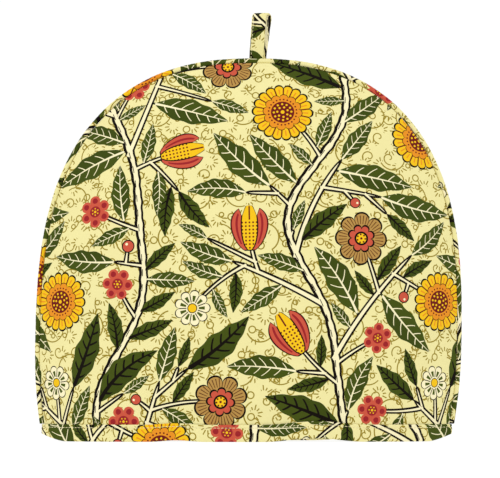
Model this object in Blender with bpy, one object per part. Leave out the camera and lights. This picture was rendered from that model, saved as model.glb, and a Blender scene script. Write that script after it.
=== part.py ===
"""A padded cloth tea cosy that stands on its bound hem.

Metres, +Z up. The front panel faces -Y, the table is at z = 0, and the seam between
the two panels lies in the plane y = 0.
"""
import math
from collections import namedtuple

import bmesh
import bpy
import numpy as np

MM = 0.001
FRONT, BACK = -1, 1
GAP = 0.3 * MM                  # between two pieces that touch

# Outline from the front, to the outer edge of the piping
HALF_WIDTH = 159.5 * MM         # at the widest level
WIDEST_Z = 70 * MM
CROWN_Z = 286.4 * MM
ACROSS_POWER, RISE_POWER = 2.36, 2.83   # 2 and 2 would be an ellipse, more gives squarer shoulders
HEM_DRAW_IN = 6.7 * MM          # each side draws in by this from the widest level to the table
LEAN = math.tan(math.radians(1))
LEAN_PIVOT_Z = 125 * MM

# Padded panels
PANEL_BULGE = 51.2 * MM         # the crown of the padding above the seam
BAND_PINCH = 2.2 * MM           # the band holds the padding in by this
PINCH_Z = 16 * MM               # from here up the padding swells out
PANEL_THICK = 4 * MM
RIM_THICK = 2.5 * MM            # pressed flat in the seam and in the band
COLUMNS = 28
UPPER_ROWS = 15
LOWER_LEVELS = [level * MM for level in (16.5, 21, 27, 35, 46, 58)]

# Piping
PIPING = 4 * MM                 # diameter
PIPING_POINTS = 76

# Hem binding: one folded band around both panels
BAND = 12.7 * MM                # half an inch
BAND_THICK = 1.2 * MM
BAND_TURN = 1 * MM              # its lower edges are turned round by this
BAND_STATIONS = 54              # along half of the ring
CORNER_LIFT = 5.3 * MM          # the side seam holds the hem up by this at each end
CORNER_START = 136 * MM         # half width at which that lift begins
CORNER_END = 153.5 * MM
FOOT_MARGIN = 4 * MM            # the panels' lift in the band runs ahead of the band's by this

# Hanging loop
LOOP_WIDTH = 10.6 * MM
LOOP_THICK = 1.6 * MM
LOOP_TOP_Z = 320.5 * MM
LOOP_FOLD = 3.7 * MM            # radius of the fold, to the middle of the strip
LOOP_SPREAD_Z = 306 * MM        # up to here the legs spread apart
LOOP_STEP = 2.2 * MM            # the back leg reaches lower, down the slope of the back panel
LOOP_FRONT_X = (2.1 * MM, 3.7 * MM)   # middle of the front leg at its foot and at the fold
LOOP_BACK_X = (3.6 * MM, 7.9 * MM)    # the back leg shows past it on the right

Lift = namedtuple("Lift", "side x reach height")
HEM_LIFTS = (
    Lift(FRONT, 52 * MM, 38 * MM, 2.6 * MM),
    Lift(FRONT, -53 * MM, 22 * MM, 1.2 * MM),
    Lift(BACK, -38 * MM, 40 * MM, 1.6 * MM),
    Lift(BACK, 76 * MM, 26 * MM, 0.9 * MM),
)

Dent = namedtuple("Dent", "side x z reach_x reach_z depth")
DENTS = (
    Dent(FRONT, -128 * MM, 96 * MM, 26 * MM, 62 * MM, 2.6 * MM),
    Dent(FRONT, 126 * MM, 66 * MM, 28 * MM, 46 * MM, 1.8 * MM),
    Dent(FRONT, 34 * MM, 34 * MM, 60 * MM, 26 * MM, 1.2 * MM),
    Dent(FRONT, -40 * MM, 226 * MM, 55 * MM, 40 * MM, 1.5 * MM),
    Dent(BACK, 118 * MM, 104 * MM, 34 * MM, 58 * MM, 2.4 * MM),
    Dent(BACK, -96 * MM, 150 * MM, 46 * MM, 52 * MM, 1.8 * MM),
    Dent(BACK, 20 * MM, 60 * MM, 70 * MM, 40 * MM, 1.6 * MM),
)

SEAM_INSET = PIPING + GAP       # from the outline to the rim of a panel
RIM_Y = GAP / 2 + RIM_THICK
WALL_TOP_Z = BAND + GAP         # below this the panels stand straight inside the band


def smooth(low, high, value):
    """0 up to low, 1 from high on, an even S between."""
    t = np.clip((value - low) / (high - low), 0, 1)
    return t * t * (3 - 2 * t)


def hump(centre, reach, value):
    """A soft hump of height 1 that ends at reach to either side of its centre."""
    t = np.clip((value - centre) / reach, -1, 1)
    return (1 - t * t) ** 2


def side_half_width(z):
    """Half width of the outline at a height below the widest level."""
    return HALF_WIDTH - HEM_DRAW_IN * ((WIDEST_Z - z) / WIDEST_Z) ** 2


def shoulder(angle, inset=0):
    """Point (x, z) of the outline above the widest level, by its angle from +X."""
    c, s = np.cos(angle), np.sin(angle)
    total = abs(c) ** ACROSS_POWER + abs(s) ** RISE_POWER
    x = (HALF_WIDTH - inset) * c / total ** (1 / ACROSS_POWER)
    return x, WIDEST_Z + (CROWN_Z - WIDEST_Z - inset) * s / total ** (1 / RISE_POWER)


def hem_lift(x, side):
    """How far the hem stands off the table."""
    return sum(wave.height * hump(wave.x, wave.reach, x) for wave in HEM_LIFTS if wave.side == side)


def corner_lift(x):
    """How far the lower edge turns up towards the side seams."""
    share = (abs(x) - CORNER_START) / (CORNER_END - CORNER_START)
    return CORNER_LIFT * np.maximum(share, 0) ** 1.5


def crown(r):
    """Profile of the padding from the middle, r = 0, to the seam, r = 1."""
    return (1 - r * r) * (1 + r * r / 2)


def bulge(x, z, r, side):
    """Distance of the cloth's outer face from its rim, towards the viewer."""
    full = PANEL_BULGE - BAND_PINCH * (1 - smooth(PINCH_Z, PINCH_Z + 14 * MM, z))
    dents = sum(d.depth * hump(d.x, d.reach_x, x) * hump(d.z, d.reach_z, z)
                for d in DENTS if d.side == side)
    free = smooth(0, 0.2, 1 - r) * smooth(PINCH_Z, PINCH_Z + 18 * MM, z)
    return full * crown(r) - dents * free


def even_steps(count):
    """From 0 to 1, closer together towards 1."""
    t = np.linspace(0, 1, count)
    return 1.3 * t - 0.3 * t ** 3


def panel_outside(side):
    """Outer face of a panel as rows of points from the hem up, and each point's r."""
    half = even_steps(COLUMNS // 2 + 1)
    across = np.concatenate([-half[:0:-1], half])
    wall = (side_half_width(WALL_TOP_Z) - SEAM_INSET) * across
    foot = BAND_THICK + GAP + hem_lift(wall, side) + corner_lift(abs(wall) + FOOT_MARGIN)
    wall_top = np.full_like(wall, WALL_TOP_Z)
    rows = [(wall, z, abs(across)) for z in (foot, (foot + wall_top) / 2, wall_top)]
    for z in LOWER_LEVELS:
        rows.append(((side_half_width(z) - SEAM_INSET) * across, np.full_like(wall, z), abs(across)))
    for up in even_steps(UPPER_ROWS):
        disc_x = across * np.sqrt(1 - up * up / 2)
        disc_z = up * np.sqrt(1 - across ** 2 / 2)
        r = np.hypot(disc_x, disc_z)
        edge_x, edge_z = shoulder(np.arctan2(disc_z, disc_x), SEAM_INSET)
        rows.append((edge_x * r, WIDEST_Z + (edge_z - WIDEST_Z) * r, r))
    x, z, r = (np.array(part) for part in zip(*rows))
    y = side * (RIM_Y + bulge(x, z, r, side))
    return np.stack([x, y, z], axis=-1), r


def panel_inside(outside, r, side):
    """Inner face: along the cloth's normal, but straight across the seam at the rim."""
    normal = np.cross(np.gradient(outside, axis=1), np.gradient(outside, axis=0))
    normal /= np.maximum(np.linalg.norm(normal, axis=2, keepdims=True), 1e-9)
    inward = -normal if side == FRONT else normal
    inward *= np.where(inward[..., 1:2] * side > 0, -1, 1)
    across_seam = np.array([0.0, -side, 0.0])
    free = smooth(0, 0.15, 1 - r)[..., None]
    direction = free * inward + (1 - free) * across_seam
    direction /= np.linalg.norm(direction, axis=2, keepdims=True)
    full = smooth(0, 0.25, 1 - r) * smooth(PINCH_Z, PINCH_Z + 24 * MM, outside[..., 2])
    return outside + (RIM_THICK + (PANEL_THICK - RIM_THICK) * full)[..., None] * direction


def sheet_mesh(outside, inside):
    """Closed body of two grids of points with the same rows and columns."""
    rows, columns = outside.shape[:2]
    points = np.concatenate([outside.reshape(-1, 3), inside.reshape(-1, 3)])

    def outer(i, j):
        return i * columns + j

    def inner(i, j):
        return rows * columns + i * columns + j

    faces = []
    for corner in (outer, inner):
        for i in range(rows - 1):
            for j in range(columns - 1):
                a, b, c, d = corner(i, j), corner(i, j + 1), corner(i + 1, j + 1), corner(i + 1, j)
                if j < columns // 2:
                    faces += [(a, b, d), (b, c, d)]
                else:
                    faces += [(a, b, c), (a, c, d)]
    rim = [(0, j) for j in range(columns)] + [(i, columns - 1) for i in range(1, rows)]
    rim += [(rows - 1, j) for j in range(columns - 2, -1, -1)] + [(i, 0) for i in range(rows - 2, 0, -1)]
    for here, there in zip(rim, rim[1:] + rim[:1]):
        faces.append((outer(*here), outer(*there), inner(*there), inner(*here)))
    return points, faces


def band_curve():
    """The panels' outer face at the hem, front half, and its normals; it ends at y = 0."""
    across = np.linspace(-1, 1, 401)
    half_width = side_half_width(WALL_TOP_Z) - SEAM_INSET
    x = half_width * across
    y = -(RIM_Y + (PANEL_BULGE - BAND_PINCH) * crown(abs(across)))
    normal = np.stack([np.gradient(y, x), -np.ones_like(x)], axis=1)
    normal /= np.linalg.norm(normal, axis=1, keepdims=True)
    end_angle = math.atan2(-normal[-1, 1], normal[-1, 0])
    radius = RIM_Y / math.sin(end_angle)
    turn = np.linspace(0, end_angle, 20)[:-1]
    centre_x = x[-1] - radius * math.cos(end_angle)
    arc_normal = np.stack([np.cos(turn), -np.sin(turn)], axis=1)
    arc = radius * arc_normal + [centre_x, 0]
    mirror = np.array([-1, 1])
    points = np.concatenate([arc * mirror, np.stack([x, y], axis=1), arc[::-1]])
    normals = np.concatenate([arc_normal * mirror, normal, arc_normal[::-1]])
    return points, normals


def cut_at_seam(line):
    """The part of a half ring in front of y = 0, with both its ends on that plane."""
    front = np.flatnonzero(line[:, 1] < 0)
    ends = []
    for last, beyond in ((front[0], front[0] - 1), (front[-1], front[-1] + 1)):
        share = line[last, 1] / (line[last, 1] - line[beyond, 1])
        ends.append([line[last, 0] + share * (line[beyond, 0] - line[last, 0]), 0])
    return np.concatenate([ends[:1], line[front], ends[1:]])


def distance_along(line):
    return np.concatenate([[0], np.cumsum(np.linalg.norm(np.diff(line, axis=0), axis=1))])


def band_line(offset):
    """Stations of the half ring at an outward offset from the panels, closer at its ends."""
    points, normals = band_curve()
    line = cut_at_seam(points + offset * normals)
    along = distance_along(line)
    t = np.linspace(0, 1, BAND_STATIONS + 1)
    stations = (t - 0.8 * np.sin(2 * math.pi * t) / (2 * math.pi)) * along[-1]
    return np.stack([np.interp(stations, along, line[:, axis]) for axis in (0, 1)], axis=1)


def band_mesh():
    """U-shaped band: its section is carried round both halves of the ring."""
    outside = GAP + BAND_THICK
    pocket = -RIM_THICK - GAP
    inside = pocket - BAND_THICK
    turn, nip = BAND_TURN, BAND_TURN * 0.3
    top = None
    section = [
        (outside, top), (outside, turn), (outside - nip, nip), (outside - turn, 0),
        (inside + turn, 0), (inside + nip, nip), (inside, turn), (inside, top),
        (pocket, top), (pocket, BAND_THICK), (GAP, BAND_THICK), (GAP, top),
    ]
    guide = band_line(outside)
    lines = [band_line(offset) for offset, _ in section]
    points = []
    for side in (FRONT, BACK):
        stations = range(BAND_STATIONS + 1) if side == FRONT else range(BAND_STATIONS - 1, 0, -1)
        for k in stations:
            x = guide[k, 0]
            lift = hem_lift(x, side)
            for line, (_, z) in zip(lines, section):
                height = BAND + lift if z is top else z + lift + corner_lift(x)
                points.append((line[k, 0], -side * line[k, 1], height))
    count, around = len(section), 2 * BAND_STATIONS
    faces = []
    for k in range(around):
        here, there = k * count, (k + 1) % around * count
        for i in range(count):
            j = (i + 1) % count
            faces.append((here + i, here + j, there + j, there + i))
    return np.array(points), faces


def leaned(points):
    """The whole cosy leans a little: x shifts with height."""
    points = np.array(points, dtype=float)
    points[:, 0] += LEAN * (points[:, 2] - LEAN_PIVOT_Z)
    return points


def material(name, colour, roughness):
    mat = bpy.data.materials.new(name)
    mat.use_nodes = True
    shader = mat.node_tree.nodes["Principled BSDF"]
    shader.inputs["Base Color"].default_value = (*colour, 1)
    shader.inputs["Roughness"].default_value = roughness
    shader.inputs["Metallic"].default_value = 0
    return mat


def cloth_object(name, points, faces, colour):
    mesh = bpy.data.meshes.new(name)
    mesh.from_pydata(leaned(points).tolist(), [], faces)
    bm = bmesh.new()
    bm.from_mesh(mesh)
    bmesh.ops.recalc_face_normals(bm, faces=bm.faces)
    bm.to_mesh(mesh)
    bm.free()
    mesh.shade_smooth()
    mesh.set_sharp_from_angle(angle=math.radians(40))
    obj = bpy.data.objects.new(name, mesh)
    mesh.materials.append(material(name + " cloth", colour, 0.9))
    bpy.context.collection.objects.link(obj)
    return obj


def add_panel(name, side, colour):
    outside, r = panel_outside(side)
    return cloth_object(name, *sheet_mesh(outside, panel_inside(outside, r, side)), colour)


def piping_path():
    """Middle line of the piping: upright at its two feet, then along the outline."""
    rise = [(side_half_width(z), z) for z in np.linspace(17 * MM, WIDEST_Z, 40)]
    over = [shoulder(angle) for angle in np.linspace(0, math.pi, 900)[1:-1]]
    line = np.array(rise + over + [(-x, z) for x, z in rise[::-1]])
    tangent = np.gradient(line, axis=0)
    tangent /= np.linalg.norm(tangent, axis=1, keepdims=True)
    line = line + PIPING / 2 * np.stack([-tangent[:, 1], tangent[:, 0]], axis=1)
    along = distance_along(line)
    steps = np.linspace(0, along[-1], PIPING_POINTS)
    path = [(np.interp(s, along, line[:, 0]), np.interp(s, along, line[:, 1])) for s in steps]
    foot = [(path[0][0], WALL_TOP_Z), (path[-1][0], WALL_TOP_Z)]
    return [foot[0]] + path + [foot[1]]


def add_piping(name, colour):
    """A corded tube with flat ends that stand on the band."""
    curve = bpy.data.curves.new(name, "CURVE")
    curve.dimensions = "3D"
    curve.bevel_depth = PIPING / 2
    curve.bevel_resolution = 2
    curve.use_fill_caps = True
    spline = curve.splines.new("POLY")
    path = leaned([(x, 0, z) for x, z in piping_path()])
    spline.points.add(len(path) - 1)
    for point, place in zip(spline.points, path):
        point.co = (*place, 1)
    obj = bpy.data.objects.new(name, curve)
    curve.materials.append(material(name + " cloth", colour, 0.9))
    bpy.context.collection.objects.link(obj)
    return obj


def loop_path():
    """Middle line of the strip in the y-z plane, with the sideways place of each point."""
    front_foot = (PIPING / 2 + GAP + LOOP_THICK / 2, CROWN_Z - SEAM_INSET + GAP + 0.1 * MM)
    back_foot = (front_foot[0] + LOOP_THICK + GAP, front_foot[1] - LOOP_STEP)
    fold_z = LOOP_TOP_Z - LOOP_THICK / 2 - LOOP_FOLD
    fold_y = (front_foot[0] + back_foot[0]) / 2
    path = []
    leg_steps, fold_steps = 14, 12
    for i in range(leg_steps):
        share = i / leg_steps
        z = front_foot[1] + (fold_z - front_foot[1]) * share
        spread = smooth(front_foot[1], LOOP_SPREAD_Z, z)
        y = front_foot[0] + (fold_y - LOOP_FOLD - front_foot[0]) * spread
        path.append((LOOP_FRONT_X[0] + (LOOP_FRONT_X[1] - LOOP_FRONT_X[0]) * share, y, z))
    for i in range(fold_steps + 1):
        turn = math.pi * i / fold_steps
        x = LOOP_FRONT_X[1] + (LOOP_BACK_X[1] - LOOP_FRONT_X[1]) * (1 - math.cos(turn)) / 2
        path.append((x, fold_y - LOOP_FOLD * math.cos(turn), fold_z + LOOP_FOLD * math.sin(turn)))
    for i in range(1, leg_steps + 1):
        share = 1 - i / leg_steps
        z = back_foot[1] + (fold_z - back_foot[1]) * share
        spread = smooth(back_foot[1], LOOP_SPREAD_Z, z)
        y = back_foot[0] + (fold_y + LOOP_FOLD - back_foot[0]) * spread
        path.append((LOOP_BACK_X[0] + (LOOP_BACK_X[1] - LOOP_BACK_X[0]) * share, y, z))
    return path


def add_loop(name, colour):
    path = np.array(loop_path())
    tangent = np.gradient(path[:, 1:], axis=0)
    tangent /= np.linalg.norm(tangent, axis=1, keepdims=True)
    across = np.array([LOOP_WIDTH / 2, 0, 0])
    through = LOOP_THICK / 2 * np.stack([np.zeros(len(path)), -tangent[:, 1], tangent[:, 0]], axis=1)
    faces = [np.stack([path + shift - across, path + shift + across], axis=1)
             for shift in (through, -through)]
    return cloth_object(name, *sheet_mesh(*faces), colour)


def main():
    for obj in list(bpy.data.objects):
        bpy.data.objects.remove(obj, do_unlink=True)
    cloth = (0.55, 0.47, 0.2)
    trim = (0.36, 0.36, 0.13)
    add_panel("front_panel", FRONT, cloth)
    add_panel("back_panel", BACK, cloth)
    add_piping("piping", trim)
    cloth_object("hem_binding", *band_mesh(), trim)
    add_loop("hanging_loop", trim)


main()
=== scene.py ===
import math
import random
from collections import namedtuple

import bmesh
import bpy
import numpy as np
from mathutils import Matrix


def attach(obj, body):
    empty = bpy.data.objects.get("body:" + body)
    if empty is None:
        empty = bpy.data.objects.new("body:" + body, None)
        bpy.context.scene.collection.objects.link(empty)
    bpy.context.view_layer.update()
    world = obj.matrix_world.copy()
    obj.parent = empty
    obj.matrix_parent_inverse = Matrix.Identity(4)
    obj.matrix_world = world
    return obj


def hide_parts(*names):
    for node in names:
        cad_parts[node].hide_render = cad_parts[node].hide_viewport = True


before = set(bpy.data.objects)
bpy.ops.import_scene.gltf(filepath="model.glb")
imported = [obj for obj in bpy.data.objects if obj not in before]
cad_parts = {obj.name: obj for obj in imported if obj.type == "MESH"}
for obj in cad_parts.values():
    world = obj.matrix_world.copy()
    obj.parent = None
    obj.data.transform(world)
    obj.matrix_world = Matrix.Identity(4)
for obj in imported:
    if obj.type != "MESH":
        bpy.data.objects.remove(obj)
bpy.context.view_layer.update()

MM = 0.001
TURN = 2 * math.pi
FRONT, BACK = -1, 1

# Sizes of the cosy, in millimetres, as in its solids
HALF_WIDTH = 159.5
WIDEST_Z = 70
CROWN_Z = 286.4
ACROSS_POWER, RISE_POWER = 2.36, 2.83
HEM_DRAW_IN = 6.7
LEAN = math.tan(math.radians(1))
LEAN_PIVOT_Z = 125
GAP = 0.3
PANEL_BULGE = 51.2
BAND_PINCH = 2.2
PINCH_Z = 16
PANEL_THICK = 4
RIM_THICK = 2.5
PIPING = 4
BAND = 12.7
BAND_THICK = 1.2
CORNER_LIFT = 5.3
CORNER_START = 136
CORNER_END = 153.5
FOOT_MARGIN = 4
LOOP_WIDTH = 10.6
LOOP_THICK = 1.6
LOOP_TOP_Z = 320.5
LOOP_FOLD = 3.7
LOOP_SPREAD_Z = 306
LOOP_STEP = 2.2
LOOP_FRONT_X = (2.1, 3.7)
LOOP_BACK_X = (3.6, 7.9)
SEAM_INSET = PIPING + GAP
RIM_Y = GAP / 2 + RIM_THICK
WALL_TOP_Z = BAND + GAP

Lift = namedtuple("Lift", "side x reach height")
HEM_LIFTS = (
    Lift(FRONT, 52, 38, 2.6),
    Lift(FRONT, -53, 22, 1.2),
    Lift(BACK, -38, 40, 1.6),
    Lift(BACK, 76, 26, 0.9),
)

Dent = namedtuple("Dent", "side x z reach_x reach_z depth")
DENTS = (
    Dent(FRONT, -128, 96, 26, 62, 2.6),
    Dent(FRONT, 126, 66, 28, 46, 1.8),
    Dent(FRONT, 34, 34, 60, 26, 1.2),
    Dent(FRONT, -40, 226, 55, 40, 1.5),
    Dent(BACK, 118, 104, 34, 58, 2.4),
    Dent(BACK, -96, 150, 46, 52, 1.8),
    Dent(BACK, 20, 60, 70, 40, 1.6),
)

# Stitching
STITCH = 2.2                    # length of a stitch
STITCH_PITCH = 2.8
STITCH_BOW = 0.12               # its middle stands off the cloth by this
STITCH_DIVE = 0.3               # its ends go down from there by this
THREAD = 0.42                   # diameter
THREAD_RINGS, THREAD_SIDES = 7, 7
HEM_STITCH_DROP = 2.4           # below the band's top edge
HEM_PINCH = 0.28                # the stitching draws the band in by this
BAND_PLUMP = 0.22               # the band swells by this below its stitching
LOOP_STITCH_INSET = 1.3         # from the strip's edge
LOOP_PRESS = 0.22               # the stitching presses the strip in by this

# Gathers in the panels, highest at their reach from the sewing; each wave is its length and its start
Gathers = namedtuple("Gathers", "height reach waves")
SEAM_GATHERS = Gathers(0.75, 7, ((17, 0.1), (11.5, 0.7), (29, 0.4)))
BAND_GATHERS = Gathers(0.6, 5.5, ((19, 0.3), (12.5, 0.9), (34, 0.2)))
UNEVENNESS = 0.7
UNEVEN_ACROSS, UNEVEN_UP = ((83, 0.2), (57, 0.6)), ((96, 0.5), (61, 0.1))


def smooth(low, high, value):
    """0 up to low, 1 from high on, an even S between."""
    t = np.clip((value - low) / (high - low), 0, 1)
    return t * t * (3 - 2 * t)


def hump(centre, reach, value):
    """A soft hump of height 1 that ends at reach to either side of its centre."""
    t = np.clip((value - centre) / reach, -1, 1)
    return (1 - t * t) ** 2


def side_half_width(z):
    """Half width of the outline at a height below the widest level."""
    return HALF_WIDTH - HEM_DRAW_IN * ((WIDEST_Z - z) / WIDEST_Z) ** 2


def shoulder(angle, inset=0):
    """Point (x, z) of the outline above the widest level, by its angle from +X."""
    c, s = np.cos(angle), np.sin(angle)
    total = abs(c) ** ACROSS_POWER + abs(s) ** RISE_POWER
    x = (HALF_WIDTH - inset) * c / total ** (1 / ACROSS_POWER)
    return x, WIDEST_Z + (CROWN_Z - WIDEST_Z - inset) * s / total ** (1 / RISE_POWER)


def hem_lift(x, side):
    """How far the hem stands off the table."""
    return sum(wave.height * hump(wave.x, wave.reach, x) for wave in HEM_LIFTS if wave.side == side)


def corner_lift(x):
    """How far the lower edge turns up towards the side seams."""
    share = (abs(x) - CORNER_START) / (CORNER_END - CORNER_START)
    return CORNER_LIFT * np.maximum(share, 0) ** 1.5


def crown(r):
    """Profile of the padding from the middle, r = 0, to the seam, r = 1."""
    return (1 - r * r) * (1 + r * r / 2)


def bulge(x, z, r, side):
    """Distance of the cloth's outer face from its rim, towards the viewer."""
    full = PANEL_BULGE - BAND_PINCH * (1 - smooth(PINCH_Z, PINCH_Z + 14, z))
    dents = sum(d.depth * hump(d.x, d.reach_x, x) * hump(d.z, d.reach_z, z)
                for d in DENTS if d.side == side)
    return full * crown(r) - dents * smooth(0, 0.2, 1 - r) * smooth(PINCH_Z, PINCH_Z + 18, z)


def ripples(place, *waves):
    """A sum of sine waves; each wave is its length and its start."""
    return sum(np.sin(TURN * (place / length + start)) for length, start in waves) / len(waves)


def gathered(kind, away, along):
    """Gathers by the distance away from the sewing and the place along it."""
    near = away / kind.reach
    return kind.height * near * np.exp(1 - near) * ripples(along, *kind.waves)


def puckers(x, z, r, side):
    """Small gathers beside the piping and above the band, and the cloth's faint unevenness."""
    round_seam = 160 * np.arctan2(z - 40, x)
    seam = gathered(SEAM_GATHERS, (1 - r) * HALF_WIDTH, round_seam + 31 * side)
    band = gathered(BAND_GATHERS, np.maximum(z - WALL_TOP_Z, 0), x - 17 * side)
    broad = ripples(x + 0.4 * z, *UNEVEN_ACROSS) * ripples(z - 0.3 * x + 20 * side, *UNEVEN_UP)
    return seam + band * smooth(0, 0.15, 1 - r) + UNEVENNESS * broad * smooth(0, 0.3, 1 - r)


def even_steps(count):
    """From 0 to 1, closer together towards 1."""
    t = np.linspace(0, 1, count)
    return 1.3 * t - 0.3 * t ** 3


def distance_along(line):
    return np.concatenate([[0], np.cumsum(np.linalg.norm(np.diff(line, axis=0), axis=1))])


def unit(vectors):
    return vectors / np.maximum(np.linalg.norm(vectors, axis=-1, keepdims=True), 1e-9)


def leaned(points):
    """In metres, with the cosy's slight lean."""
    points = np.array(points, dtype=float).reshape(-1, 3)
    points[:, 0] += LEAN * (points[:, 2] - LEAN_PIVOT_Z)
    return points * MM


# The print: two boughs climb each repeat and carry shoots with flowers and leaves

REPEAT = np.array([300.0, 260.0])       # the print repeats over this much cloth
FAR_AWAY = 900.0
PRINT_SEED = 6
BRANCHES = 5
TRIES = 300                             # for a flower, and for the single leaves of a size
BRANCH_TRIES, TWIG_TRIES, BERRY_TRIES = 120, 500, 150
STATIONS_TRIED = 40                     # of those nearest to a gap
DARK_VEINED = 0.4                       # share of the leaves

Bough = namedtuple("Bough", "x y sway start")
Shoot = namedtuple("Shoot", "x y turn length bend order")    # of order 1 on a bough, 2 on such a shoot
Leaf = namedtuple("Leaf", "x y turn size bend dark_veins")
Bloom = namedtuple("Bloom", "kind x y turn size")
BOUGHS = (Bough(72, 0, 21, 0.05), Bough(224, 0, 17, 0.6))
BOUGH_REACH = 3
SHOOT_REACH = 1.4
MOST_BEND = 0.006
STEM_STEP = 5                           # between the discs and stations along a stem
ASTER, ROSETTE, TULIP, STAR, DAISY, BERRY = range(1, 7)
BLOOM_RADIUS = {ASTER: 21.5, ROSETTE: 18.5, TULIP: 17.5, STAR: 11.8, DAISY: 13.2, BERRY: 4.6}
BLOOM_SIZE = {ASTER: 1.12, ROSETTE: 1.12, TULIP: 1.15, STAR: 1.05, DAISY: 1.05}
BLOOM_ORDER = (
    ASTER, ROSETTE, TULIP, ASTER, ROSETTE, TULIP, ASTER, STAR, DAISY, STAR, TULIP, STAR, DAISY, STAR, STAR,
)
LEAF_LENGTH = 52
LEAF_STALK = 3.2
LEAF_COVER = ((-18, 5.4), (-8, 8), (3, 8), (13, 6.6), (22, 3.6))     # discs: place along a leaf, radius


def turned(x, y, degrees):
    c, s = math.cos(math.radians(degrees)), math.sin(math.radians(degrees))
    return c * x - s * y, s * x + c * y


def nearest(way):
    """The shortest of the ways to a motif through the print's repeat."""
    return (way + REPEAT / 2) % REPEAT - REPEAT / 2


def bough_line(bough, y):
    """Place across and slope of a bough, a lazy wave that meets itself at the repeat."""
    once = TURN / REPEAT[1]
    t = once * y + TURN * bough.start
    across = bough.sway * (np.sin(t) + 0.28 * np.sin(2 * t + 1))
    return across, bough.sway * once * (np.cos(t) + 0.56 * np.cos(2 * t + 1))


def shoot_point(shoot, along):
    """A point of a shoot and its direction there, in degrees."""
    dx, dy = turned(along, shoot.bend * along ** 2, shoot.turn)
    return shoot.x + dx, shoot.y + dy, shoot.turn + math.degrees(math.atan(2 * shoot.bend * along))


def leaf_at(x, y, turn, size, bend, dark_veins, stalk):
    """A leaf by the place where its stalk starts."""
    half = (LEAF_LENGTH / 2 + stalk) * size
    dx, dy = turned(half, -bend * half ** 2, turn)
    return Leaf(x + dx, y + dy, turn, size, bend, dark_veins)


def leaf_discs(leaf):
    for along, radius in LEAF_COVER:
        dx, dy = turned(along * leaf.size, leaf.bend * (along * leaf.size) ** 2, leaf.turn)
        yield leaf.x + dx, leaf.y + dy, radius * leaf.size


def shoot_discs(shoot, start=6):
    for along in np.arange(start, shoot.length, STEM_STEP):
        x, y, _ = shoot_point(shoot, along)
        yield x, y, SHOOT_REACH


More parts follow.
